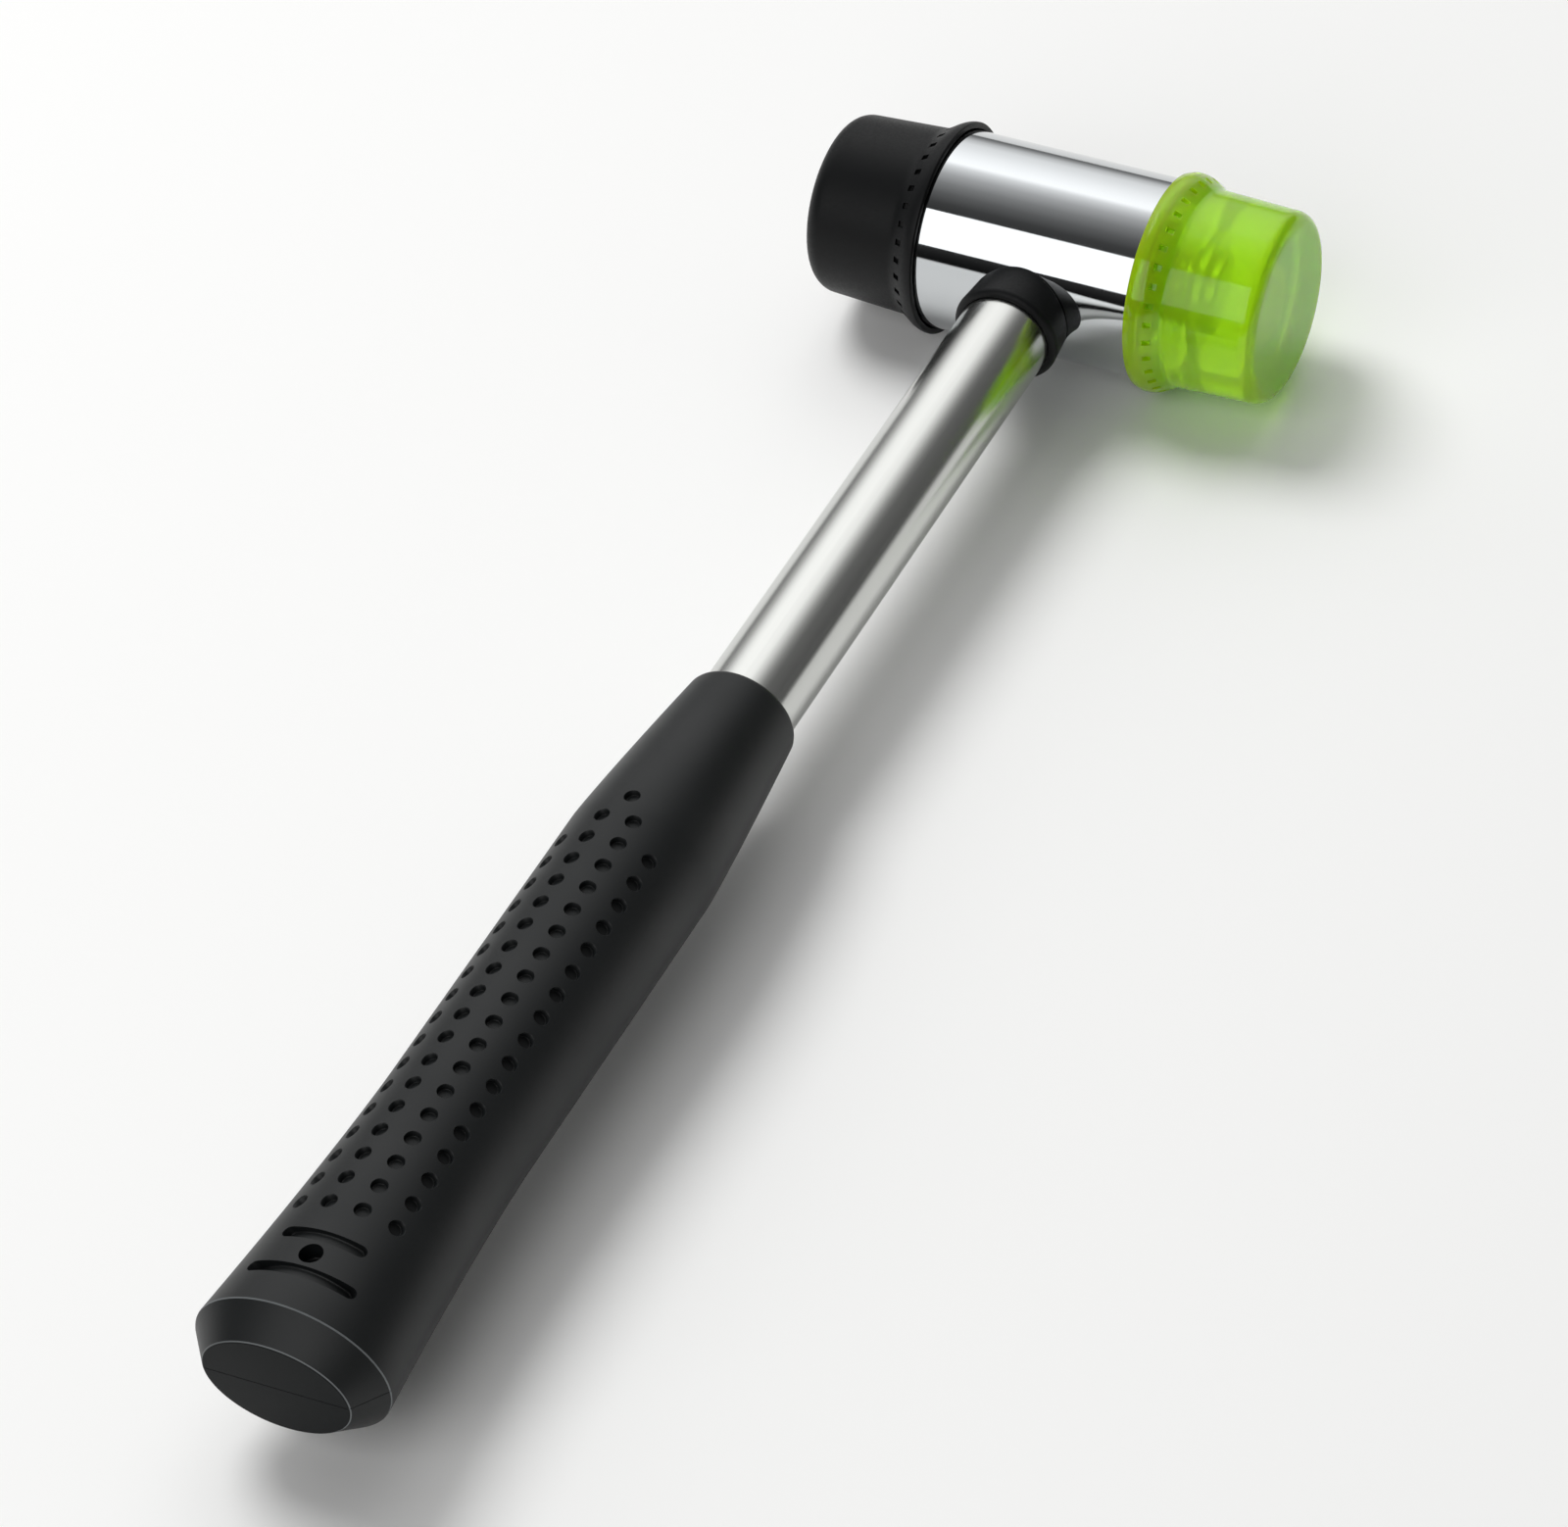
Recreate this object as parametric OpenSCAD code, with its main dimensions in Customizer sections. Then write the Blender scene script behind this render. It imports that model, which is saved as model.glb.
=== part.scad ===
// Soft face hammer with screw-in tips, lying on a bench.
// X runs along the barrel with the plastic tip at +X, Y along the handle with the butt at -Y, Z up.

/* [Barrel] */
// Outside diameter of the chromed barrel
barrel_dia = 30; // [27:0.5:34]
// Length of the barrel between its end faces
barrel_len = 38; // [36:0.5:46]
// Chamfer round each end of the barrel
barrel_chamfer = 0.6; // [0.2:0.1:1]
// Barrel wall left beyond the end of the tube
crown_wall = 6; // [3:0.5:8]

/* [Studs] */
// Outside diameter of the thread on each stud
thread_dia = 8; // [6:0.5:9]
// Barrel wall left between the end of each stud's hole and the tube
hole_wall = 1.4; // [0.8:0.1:3]
// Chamfer on both ends of a stud
stud_chamfer = 0.6; // [0.2:0.1:1]
// Length of each stud that is moulded into its tip
stud_embed = 8.5; // [7:0.5:12]
// Diameter of the anchor flange inside the tip
flange_dia = 12; // [10:0.5:14]
// Thickness of the anchor flange
flange_len = 1.6; // [1:0.1:2.5]
// Length of the stud beyond the anchor flange
stud_nose_len = 2; // [1:0.1:3]

/* [Tips] */
// How far each skirt laps over the barrel
skirt_lap = 2; // [1:0.1:3]
// How far each striking face stands off the barrel's end
tip_stand = 17.2; // [14:0.1:24]
// Number of notches in the ring round each tip
notch_count = 34; // [12:1:40]
// Width of one notch round the tip
notch_w = 0.9; // [0.5:0.1:1.2]
// Length of one notch along the tip
notch_len = 1.1; // [0.5:0.1:1.5]
// Depth of one notch
notch_depth = 0.8; // [0.3:0.1:1]

/* [Plastic tip] */
// Wall of the skirt at its rim
plastic_rim_wall = 1.1; // [0.6:0.05:1.2]
// Wall of the skirt under the crest of the bead
bead_wall = 1.35; // [1.2:0.05:2]
// Length of the bead from the rim to the body
bead_len = 5.2; // [4:0.1:8]
// Distance of the bead's crest from the rim
bead_crest = 1.3; // [1:0.1:3]
// Distance of the notch ring from the barrel's end
plastic_notch_at = 1.6; // [1:0.1:2.5]
// How far the body lies inside the barrel's surface next to the bead
plastic_root_inset = 0.15; // [0:0.05:1]
// How far the body lies inside the barrel's surface at the striking face
plastic_face_inset = 0.6; // [0.2:0.05:1.5]
// Rounding of the striking face's edge
plastic_edge_radius = 2.2; // [1:0.1:4]

/* [Rubber tip] */
// Wall of the flared skirt at its rim
rubber_rim_wall = 1; // [0.6:0.05:1.5]
// Straight lip behind the rim
rubber_lip_len = 0.3; // [0.2:0.1:1]
// Distance of the waist from the rim
waist_at = 5; // [4:0.1:6]
// Distance of the notch ring from the barrel's end
rubber_notch_at = 0.9; // [0.9:0.1:2]
// How far the waist lies inside the barrel's surface
waist_inset = 0.8; // [0.3:0.05:1.5]
// How far the body lies inside the barrel's surface at the striking face
rubber_face_inset = 1.55; // [0.5:0.05:2]
// Rounding of the striking face's edge
rubber_edge_radius = 3; // [1.5:0.1:5]

/* [Handle] */
// Distance from the barrel's axis to the butt's end face
handle_len = 236; // [200:1:300]
// Outside diameter of the tube
tube_dia = 14; // [12:0.5:15]
// Wall of the tube
tube_wall = 1.2; // [0.8:0.1:2]
// Diameter of the spring pin through the tube
pin_dia = 4; // [3:0.5:5]
// Wall of the rolled pin
pin_wall = 0.8; // [0.5:0.1:1]
// Width of the slot along the pin
pin_slot = 0.9; // [0.5:0.1:1.2]

/* [Collar] */
// Rubber wall of the collar at its widest, above the lower rim
collar_wall = 1.2; // [1:0.1:2]
// Distance from the barrel's axis to the collar's lower rim
collar_len = 20.2; // [18:0.1:22]
// Rounding of the collar's lower rim
collar_edge_radius = 1; // [0.2:0.1:1]
// Rubber wall at the collar's upper end, before the barrel cuts its saddle
collar_top_wall = 0.25; // [0.2:0.05:1]
// Distance from the barrel's axis to that upper end
collar_top_at = 11; // [8:0.5:12]

/* [Tube end plug] */
// Thickness of the flange over the tube's end
plug_flange_len = 1.5; // [1:0.1:3]
// Length of the plug inside the tube
plug_len = 10; // [6:0.5:16]
// Wall of the plug's cup
plug_wall = 1.2; // [0.8:0.1:2]
// Height of the gripping ribs round the plug
plug_rib_depth = 0.5; // [0.2:0.1:0.8]
// Number of gripping ribs
plug_ribs = 3; // [1:1:4]

/* [Grip] */
// Length of the grip
grip_len = 130; // [120:1:160]
// Diameter of the grip along its straight part
grip_dia = 21.9; // [20:0.1:24]
// Width of the butt across the barrel's direction
butt_width = 28.2; // [24:0.2:34]
// Height of the butt
butt_height = 22; // [21:0.2:28]
// Length of the flare up to the butt
flare_len = 48; // [36:1:60]
// Length of the taper at the tube end
taper_len = 31; // [20:1:40]
// Rubber wall at the tube end of the grip
lip_wall = 1.25; // [1.25:0.05:2.5]
// Rounding of that end
lip_edge_radius = 1.2; // [0.4:0.1:1.2]
// Length of the butt's bevel along the handle
bevel_len = 4.4; // [3:0.1:6]
// Depth of the butt's bevel across the handle
bevel_depth = 3.5; // [2:0.1:4.5]
// Rubber between the tube's plug and the end face
butt_floor = 9; // [5:0.5:14]
// Turn of the grip on its tube, as it was pressed on
grip_turn = -4; // [-10:1:10]

/* [Grip pattern] */
// Diameter of one dimple
dimple_dia = 2.2; // [1.5:0.1:2.8]
// Depth of one dimple
dimple_depth = 1.3; // [0.5:0.1:2]
// Distance from one ring of dimples to the next
dimple_pitch = 4.36; // [3.5:0.01:7]
// Distance of the first ring from the end face
dimple_start = 22.1; // [20:0.1:30]
// Least distance of the last dimple from the tube end
dimple_end = 27; // [20:0.5:40]
// Angle between neighbouring rows of dimples
dimple_angle = 25.2; // [18:0.1:28]
// Width of the two slots near the butt
slot_w = 1.8; // [1:0.1:2.4]
// Depth of the two slots
slot_depth = 1.1; // [0.5:0.1:2]
// Distance of the upper slot from the end face
upper_slot_at = 16.3; // [15.5:0.1:18]
// Half the angle that the upper slot spans
upper_slot_angle = 27; // [12:1:40]
// Distance of the lower slot from the end face
lower_slot_at = 10.2; // [9:0.1:11]
// Half the angle that the lower slot spans
lower_slot_angle = 36; // [12:1:40]
// Diameter of the round hole between the slots
hole_dia = 3.2; // [2:0.1:3.6]
// Depth of that hole
hole_depth = 2.6; // [1:0.1:3.2]

/* [Clearances] */
// Gap between a thread and its hole, with the threads drawn plain
thread_gap = 0.15; // [0.1:0.01:0.3]
// Gap round a stud inside its tip
mould_gap = 0.1; // [0.05:0.01:0.2]
// Gap between a tip and the barrel
seat_gap = 0.15; // [0.1:0.01:0.3]
// Gap between the fixed pieces of the handle
fit_gap = 0.05; // [0.02:0.01:0.1]

/* [Hidden] */
$fn = 96;

// How far a cut runs past the face that it opens
overrun = 1;
// Sides of the grip's oval rings
grip_sides = 48;
// Rings along the flare and along the taper
flare_rings = 9;
taper_rings = 8;
// Steps of a rounded edge and of a swept curve
round_steps = 6;
curve_steps = 10;
// Sides of the small round cuts in the grip
dimple_sides = 24;
// How strongly the flare and the taper hold back before they open
flare_ease = 1.5;
taper_ease = 1.2;

barrel_r = barrel_dia / 2;
barrel_half = barrel_len / 2;
tube_r = tube_dia / 2;
thread_r = thread_dia / 2;
stud_hole = barrel_half - tube_r - hole_wall;
stud_hold = stud_hole - stud_chamfer;
stud_nose_r = thread_r - stud_chamfer;
flange_r = flange_dia / 2;
flange_at = stud_embed - stud_nose_len - flange_len;

skirt_r = barrel_r + seat_gap;
waist_r = barrel_r - waist_inset;
bead_r = skirt_r + bead_wall;
plastic_root_r = barrel_r - plastic_root_inset;
rubber_rim_r = skirt_r + rubber_rim_wall;
face_at = tip_stand + seat_gap;

sleeve_bore_r = tube_r + fit_gap;
tube_bore_r = tube_r - tube_wall;
tube_top = barrel_r - crown_wall;
tube_from = butt_floor + plug_flange_len;
pin_len = barrel_len - 2 * stud_hole;

grip_r = grip_dia / 2;
lip_r = sleeve_bore_r + lip_wall;
taper_from = grip_len - taper_len;
taper_to = grip_len - lip_edge_radius;
last_ring = floor((grip_len - dimple_start - dimple_end) / dimple_pitch);
hole_at = (upper_slot_at + lower_slot_at) / 2;

// The origin is under the middle of the whole hammer, on the bench
axis_height = max(bead_r, rubber_rim_r);
head_y = (handle_len - axis_height) / 2;

// Places a piece that is drawn about the barrel's centre
module in_head() {
    translate([0, head_y, axis_height]) children();
}

// Places a piece that is drawn along +Z from the barrel's end, at the +X or the -X end
module on_end(side) {
    in_head() translate([side * barrel_half, 0, 0]) rotate([0, side * 90, 0]) children();
}

// Places a piece that is drawn along +Z from the butt's end face
module in_handle() {
    in_head() translate([0, -handle_len, 0]) rotate([-90, 0, 0]) children();
}

// Points of a quarter round, from the side of a revolved piece to its end
function edge_round(r, z, radius) = [
    for (i = [0 : round_steps])
        let (q = 90 * i / round_steps)
        [r - radius + radius * cos(q), z - radius + radius * sin(q)]
];

// Barrel with a stud hole in each end, the tube's socket and the pin's hole

module barrel_hole() {
    translate([0, 0, -stud_hole]) cylinder(h = stud_hole + overrun, r = thread_r + thread_gap);
    translate([0, 0, -stud_chamfer])
        cylinder(h = 2 * stud_chamfer, r1 = thread_r, r2 = thread_r + 2 * stud_chamfer);
}

module head_barrel() {
    outline = [
        [0, -barrel_half], [barrel_r - barrel_chamfer, -barrel_half],
        [barrel_r, -barrel_half + barrel_chamfer], [barrel_r, barrel_half - barrel_chamfer],
        [barrel_r - barrel_chamfer, barrel_half], [0, barrel_half]
    ];
    color("gainsboro") difference() {
        in_head() rotate([0, 90, 0]) rotate_extrude() polygon(outline);
        on_end(1) barrel_hole();
        on_end(-1) barrel_hole();
        in_handle() cylinder(h = handle_len + tube_top, r = tube_r + fit_gap);
        in_head() rotate([0, 90, 0]) cylinder(h = barrel_len, r = pin_dia / 2 + fit_gap, center = true);
    }
}

// Tube, its pin and the plug in its lower end

module handle_tube() {
    color("silver") difference() {
        in_handle() translate([0, 0, tube_from])
            cylinder(h = handle_len + tube_top - tube_from, r = tube_r);
        in_handle() cylinder(h = handle_len + tube_top + overrun, r = tube_bore_r);
        in_head() rotate([0, 90, 0]) cylinder(h = barrel_len, r = pin_dia / 2 + fit_gap, center = true);
    }
}

module handle_pin() {
    color("dimgray") in_head() rotate([0, 90, 0]) difference() {
        cylinder(h = pin_len, r = pin_dia / 2, center = true);
        cylinder(h = pin_len + overrun, r = pin_dia / 2 - pin_wall, center = true);
        translate([0, -pin_slot / 2, -pin_len]) cube([pin_dia, pin_slot, 2 * pin_len]);
    }
}

module tube_end_plug() {
    rib_r = tube_bore_r - fit_gap;
    cup_r = rib_r - plug_rib_depth;
    rib_step = plug_len / (plug_ribs + 1);
    outline = concat(
        [[0, 0], [tube_r, 0], [tube_r, plug_flange_len], [cup_r, plug_flange_len]],
        [for (i = [1 : plug_ribs]) each [
            [cup_r, plug_flange_len + i * rib_step - plug_rib_depth],
            [rib_r, plug_flange_len + i * rib_step],
            [cup_r, plug_flange_len + i * rib_step + plug_rib_depth]
        ]],
        [
            [cup_r, plug_flange_len + plug_len], [cup_r - plug_wall, plug_flange_len + plug_len],
            [cup_r - plug_wall, plug_flange_len], [0, plug_flange_len]
        ]
    );
    color("darkslategray") in_handle() translate([0, 0, butt_floor]) rotate_extrude() polygon(outline);
}

// Rubber collar, its upper end cut to a saddle by the barrel

module neck_collar() {
    outline = concat(
        [[sleeve_bore_r, collar_top_at], [sleeve_bore_r + collar_top_wall, collar_top_at]],
        edge_round(sleeve_bore_r + collar_wall, collar_len, collar_edge_radius),
        [[sleeve_bore_r, collar_len]]
    );
    color([0.1, 0.1, 0.1]) difference() {
        in_head() rotate([90, 0, 0]) rotate_extrude() polygon(outline);
        in_head() rotate([0, 90, 0]) cylinder(h = barrel_len, r = barrel_r + fit_gap, center = true);
    }
}

// Moulded grip: an oval flare to a bevelled butt, a round middle and a taper to the tube

function flare_share(s) =
    s >= flare_len ? 0 : pow((flare_len - s) / (flare_len - bevel_len), flare_ease);
function taper_share(s) =
    s <= taper_from ? 0 : pow((s - taper_from) / (taper_to - taper_from), taper_ease);
function round_part(s) = grip_r - (grip_r - lip_r) * taper_share(s);
function half_width(s) = round_part(s) + (butt_width / 2 - grip_r) * flare_share(s);
function half_height(s) = round_part(s) + (butt_height / 2 - grip_r) * flare_share(s);

// Distance from the handle's axis to the grip's surface, at an angle from its broad side
function grip_reach(s, angle) =
    1 / sqrt(pow(sin(angle) / half_width(s), 2) + pow(cos(angle) / half_height(s), 2));

// Rings of the grip from the end face to the tube: half width, half height, distance from the end face
function grip_rings() = concat(
    [[half_width(bevel_len) - bevel_depth, half_height(bevel_len) - bevel_depth, 0]],
    [for (i = [0 : flare_rings])
        let (s = bevel_len + (flare_len - bevel_len) * i / flare_rings)
        [half_width(s), half_height(s), s]],
    [for (i = [0 : taper_rings])
        let (s = taper_from + (taper_to - taper_from) * i / taper_rings)
        [half_width(s), half_height(s), s]],
    [for (i = [1 : round_steps])
        let (p = edge_round(lip_r, grip_len, lip_edge_radius)[i])
        [p[0], p[0], p[1]]]
);

module oval_loft(rings) {
    n = grip_sides;
    top = (len(rings) - 1) * n;
    points = [for (ring = rings) for (i = [0 : n - 1])
        [ring[0] * cos(360 * i / n), ring[1] * sin(360 * i / n), ring[2]]];
    walls = [for (k = [0 : len(rings) - 2]) for (i = [0 : n - 1])
        let (a = k * n + i, b = k * n + (i + 1) % n)
        each [[a, a + n, b + n], [a, b + n, b]]];
    ends = [[for (i = [0 : n - 1]) i], [for (i = [0 : n - 1]) top + n - 1 - i]];
    polyhedron(points = points, faces = concat(walls, ends));
}

// A round blind hole into the grip, square to its axis
module grip_hole(s, angle, dia, depth) {
    rotate([0, 0, angle])
        translate([0, depth - grip_reach(s, angle), s])
        rotate([90, 0, 0])
        cylinder(h = depth + overrun, d = dia, $fn = dimple_sides);
}

// A slot with round ends, part of the way round the grip
module grip_slot(s, half_angle) {
    floor_r = half_height(s) - slot_depth;
    depth = grip_reach(s, half_angle) - floor_r;
    rotate([0, 0, -90 - half_angle])
        rotate_extrude(angle = 2 * half_angle)
        translate([floor_r, s - slot_w / 2])
        square([depth + overrun, slot_w]);
    for (side = [-1, 1]) grip_hole(s, side * half_angle, slot_w, depth);
}

module dimple_field() {
    for (k = [0 : last_ring - 1]) for (side = [-1, 1])
        grip_hole(dimple_start + k * dimple_pitch, side * dimple_angle / 2, dimple_dia, dimple_depth);
    for (k = [0 : last_ring - 2]) for (side = [-1, 1])
        grip_hole(dimple_start + k * dimple_pitch, side * dimple_angle * 3 / 2, dimple_dia, dimple_depth);
    grip_hole(dimple_start + last_ring * dimple_pitch, 0, dimple_dia, dimple_depth);
}

module grip_sleeve() {
    color([0.16, 0.17, 0.18]) in_handle() rotate([0, 0, grip_turn]) difference() {
        oval_loft(grip_rings());
        translate([0, 0, butt_floor]) cylinder(h = grip_len, r = sleeve_bore_r);
        for (turn = [0, 180]) rotate([0, 0, turn]) {
            dimple_field();
            grip_slot(upper_slot_at, upper_slot_angle);
            grip_slot(lower_slot_at, lower_slot_angle);
            grip_hole(hole_at, 0, hole_dia, hole_depth);
        }
    }
}

// Tips and their studs, drawn along +Z from the barrel's end

function tip_inside() = [
    [0, stud_embed + mould_gap], [stud_nose_r + mould_gap, stud_embed + mould_gap],
    [thread_r + mould_gap, stud_embed - stud_chamfer + mould_gap],
    [thread_r + mould_gap, flange_at + flange_len + mould_gap],
    [flange_r + mould_gap, flange_at + flange_len + mould_gap],
    [flange_r + mould_gap, flange_at - mould_gap],
    [thread_r + mould_gap, flange_at - mould_gap], [thread_r + mould_gap, seat_gap],
    [skirt_r - barrel_chamfer, seat_gap], [skirt_r, -barrel_chamfer], [skirt_r, -skirt_lap]
];

module notch_ring(r, at) {
    for (i = [0 : notch_count - 1])
        rotate([0, 0, 360 * i / notch_count])
        translate([r - notch_depth, -notch_w / 2, at - notch_len / 2])
        cube([notch_depth + overrun, notch_w, notch_len]);
}

// Radius of the bead past its crest, at a distance from the rim: a quarter wave down to the body
function fall_r(at) = plastic_root_r
    + (bead_r - plastic_root_r) * cos(90 * (at - bead_crest) / (bead_len - bead_crest));

// Outline of the bead: a quarter wave up from the rim to the crest, then the fall to the body
function bead_outline() = let (rim_r = skirt_r + plastic_rim_wall) concat(
    [for (i = [0 : curve_steps])
        let (t = i / curve_steps)
        [rim_r + (bead_r - rim_r) * sin(90 * t), bead_crest * t - skirt_lap]],
    [for (i = [1 : curve_steps])
        let (at = bead_crest + (bead_len - bead_crest) * i / curve_steps)
        [fall_r(at), at - skirt_lap]]
);

module plastic_tip() {
    face_r = barrel_r - plastic_face_inset;
    outline = concat(
        tip_inside(), bead_outline(), edge_round(face_r, face_at, plastic_edge_radius), [[0, face_at]]
    );
    color([0.56, 0.83, 0.06]) on_end(1) difference() {
        rotate_extrude() polygon(outline);
        notch_ring(fall_r(skirt_lap + plastic_notch_at), plastic_notch_at);
    }
}

// Radius of the flared skirt at a distance from the rim: half a wave down to the waist
function flare_r(at) = let (t = (at - rubber_lip_len) / (waist_at - rubber_lip_len))
    waist_r + (rubber_rim_r - waist_r) * (1 + cos(180 * t)) / 2;

// Outline of the flared skirt: a straight lip, then the wave
function flare_outline() = concat(
    [[rubber_rim_r, -skirt_lap]],
    [for (i = [0 : curve_steps])
        let (at = rubber_lip_len + (waist_at - rubber_lip_len) * i / curve_steps)
        [flare_r(at), at - skirt_lap]]
);

module rubber_tip() {
    face_r = barrel_r - rubber_face_inset;
    outline = concat(
        tip_inside(), flare_outline(), edge_round(face_r, face_at, rubber_edge_radius), [[0, face_at]]
    );
    color([0.13, 0.13, 0.14]) on_end(-1) difference() {
        rotate_extrude() polygon(outline);
        notch_ring(flare_r(skirt_lap + rubber_notch_at), rubber_notch_at);
    }
}

module stud() {
    outline = [
        [0, -stud_hold], [stud_nose_r, -stud_hold], [thread_r, stud_chamfer - stud_hold],
        [thread_r, flange_at], [flange_r, flange_at], [flange_r, flange_at + flange_len],
        [thread_r, flange_at + flange_len], [thread_r, stud_embed - stud_chamfer],
        [stud_nose_r, stud_embed], [0, stud_embed]
    ];
    color("lightgray") rotate_extrude() polygon(outline);
}

module plastic_tip_stud() {
    on_end(1) stud();
}

module rubber_tip_stud() {
    on_end(-1) stud();
}

head_barrel();
handle_tube();
handle_pin();
neck_collar();
grip_sleeve();
tube_end_plug();
plastic_tip();
plastic_tip_stud();
rubber_tip();
rubber_tip_stud();
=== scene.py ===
from math import asin, ceil, cos, pi, radians, sin, sqrt, tan

import bmesh
import bpy
from mathutils import Matrix, Vector


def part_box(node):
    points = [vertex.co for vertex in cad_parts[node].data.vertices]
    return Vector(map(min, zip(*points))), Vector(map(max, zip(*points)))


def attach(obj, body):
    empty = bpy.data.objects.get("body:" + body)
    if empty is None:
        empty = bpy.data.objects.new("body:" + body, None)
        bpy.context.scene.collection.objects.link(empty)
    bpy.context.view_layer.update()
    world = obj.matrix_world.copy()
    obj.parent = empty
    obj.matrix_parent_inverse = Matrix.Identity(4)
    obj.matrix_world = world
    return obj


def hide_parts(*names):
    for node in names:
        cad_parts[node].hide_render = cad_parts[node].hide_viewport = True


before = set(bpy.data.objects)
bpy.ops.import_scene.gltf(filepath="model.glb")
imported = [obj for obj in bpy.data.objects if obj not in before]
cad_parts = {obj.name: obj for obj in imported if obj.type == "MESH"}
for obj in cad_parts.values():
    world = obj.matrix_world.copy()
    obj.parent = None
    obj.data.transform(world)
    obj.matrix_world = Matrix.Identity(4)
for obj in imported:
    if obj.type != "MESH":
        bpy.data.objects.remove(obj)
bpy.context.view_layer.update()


# Barrel: the middle of the head, turned from steel bar and drilled from both ends for the studs.
# It is polished and plated with bright chrome, and the handle's tube is sunk into its side.

MM = 0.001
WELD = 0.0002 * MM
CREASE = 35
barrel_low, barrel_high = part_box("head_barrel")
tube_low, tube_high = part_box("handle_tube")
head = (barrel_low + barrel_high) / 2
barrel_r = (barrel_high.z - barrel_low.z) / 2
barrel_half = (barrel_high.x - barrel_low.x) / 2
tube_r = (tube_high.x - tube_low.x) / 2
barrel_edge = 0.5 * MM
barrel_row, barrel_turns = 1 * MM, 256
fit_gap = 0.05 * MM
overrun = 1 * MM
thread_r = 4 * MM
thread_gap = 0.15 * MM
stud_hole = 10.6 * MM


def eased(corners, steps=6):
    """Points of an outline with rounded corners: each corner is (radius, height, rounding)."""
    points = []
    for i, (radius, height, rounding) in enumerate(corners):
        here = Vector((radius, height))
        if not rounding:
            points.append(here)
            continue
        back = (Vector(corners[i - 1][:2]) - here).normalized()
        on = (Vector(corners[(i + 1) % len(corners)][:2]) - here).normalized()
        half = back.angle(on) / 2
        centre = here + (back + on).normalized() * rounding / sin(half)
        first = (here + back * rounding / tan(half) - centre).normalized()
        last = (here + on * rounding / tan(half) - centre).normalized()
        points += [centre + first.slerp(last, k / steps) * rounding for k in range(steps + 1)]
    return points


def divided(points, step):
    """The same outline with points added, none further apart than the step."""
    fine = []
    for start, end in zip(points, points[1:]):
        count = ceil((end - start).length / step)
        fine += [start.lerp(end, k / count) for k in range(count)]
    return fine + points[-1:]


def turned(outline, place, segments=192):
    """Rings of a turned shape: an outline of (radius, height) points, spun about Z and put in place."""
    turns = [2 * pi * i / segments for i in range(segments)]
    return [[place @ Vector((r * cos(turn), r * sin(turn), h)) for turn in turns] for r, h in outline]


def skin(work, rings, loop=False):
    """Adds the surface through rings of points to the mesh in work; a ring with no size closes an end."""
    corners = [[work.verts.new(point) for point in ring] for ring in rings]
    after = corners[1:] + corners[:1] if loop else corners[1:]
    for low, high in zip(corners, after):
        for i in range(len(low)):
            work.faces.new((low[i - 1], low[i], high[i], high[i - 1]))
    return work


def shaped(name, work, crease=CREASE):
    """Makes an object of the mesh in work, closed and smooth but for edges sharper than the crease."""
    bmesh.ops.remove_doubles(work, verts=work.verts, dist=WELD)
    bmesh.ops.dissolve_degenerate(work, edges=work.edges, dist=WELD)
    bmesh.ops.recalc_face_normals(work, faces=work.faces)
    mesh = bpy.data.meshes.new(name)
    work.to_mesh(mesh)
    work.free()
    mesh.shade_smooth()
    mesh.set_sharp_from_angle(angle=radians(crease))
    piece = bpy.data.objects.new(name, mesh)
    bpy.context.scene.collection.objects.link(piece)
    return piece


def settled(piece, crease=CREASE):
    """Makes what the piece's modifiers show its own plain mesh."""
    graph = bpy.context.evaluated_depsgraph_get()
    mesh = bpy.data.meshes.new_from_object(piece.evaluated_get(graph))
    piece.modifiers.clear()
    piece.data = mesh
    mesh.shade_smooth()
    mesh.set_sharp_from_angle(angle=radians(crease))
    return piece


def paint(code):
    """Linear colour of an sRGB hex value."""
    shares = [int(code[i:i + 2], 16) / 255 for i in (1, 3, 5)]
    return [*(c / 12.92 if c <= 0.04045 else ((c + 0.055) / 1.055) ** 2.4 for c in shares), 1]


def add(tree, kind, inputs=(), **settings):
    """Adds a node with its settings, and fills or links its inputs by name or number."""
    node = tree.nodes.new(kind)
    for name, value in settings.items():
        setattr(node, name, value)
    for name, value in dict(inputs).items():
        if isinstance(value, bpy.types.NodeSocket):
            tree.links.new(value, node.inputs[name])
        else:
            node.inputs[name].default_value = value
    return node


def blank(name):
    """A new material with its node tree and its shader."""
    material = bpy.data.materials.new(name)
    material.use_nodes = True
    return material, material.node_tree, material.node_tree.nodes["Principled BSDF"]


# Bright chrome over polished steel: a neutral mirror, with haze that varies where hands have been.
chrome, tree, shader = blank("bright chrome plate")
shader.inputs["Base Color"].default_value = paint("#c6c9cb")
shader.inputs["Metallic"].default_value = 1
place = add(tree, "ShaderNodeTexCoord")
smudge = add(tree, "ShaderNodeTexNoise", {
    "Vector": place.outputs["Object"], "Scale": 1 / (9 * MM), "Detail": 4})
haze = add(tree, "ShaderNodeMapRange", {
    "Value": smudge.outputs["Fac"], "From Min": 0.35, "From Max": 0.7, "To Min": 0.035, "To Max": 0.075})
tree.links.new(haze.outputs["Result"], shader.inputs["Roughness"])

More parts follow.
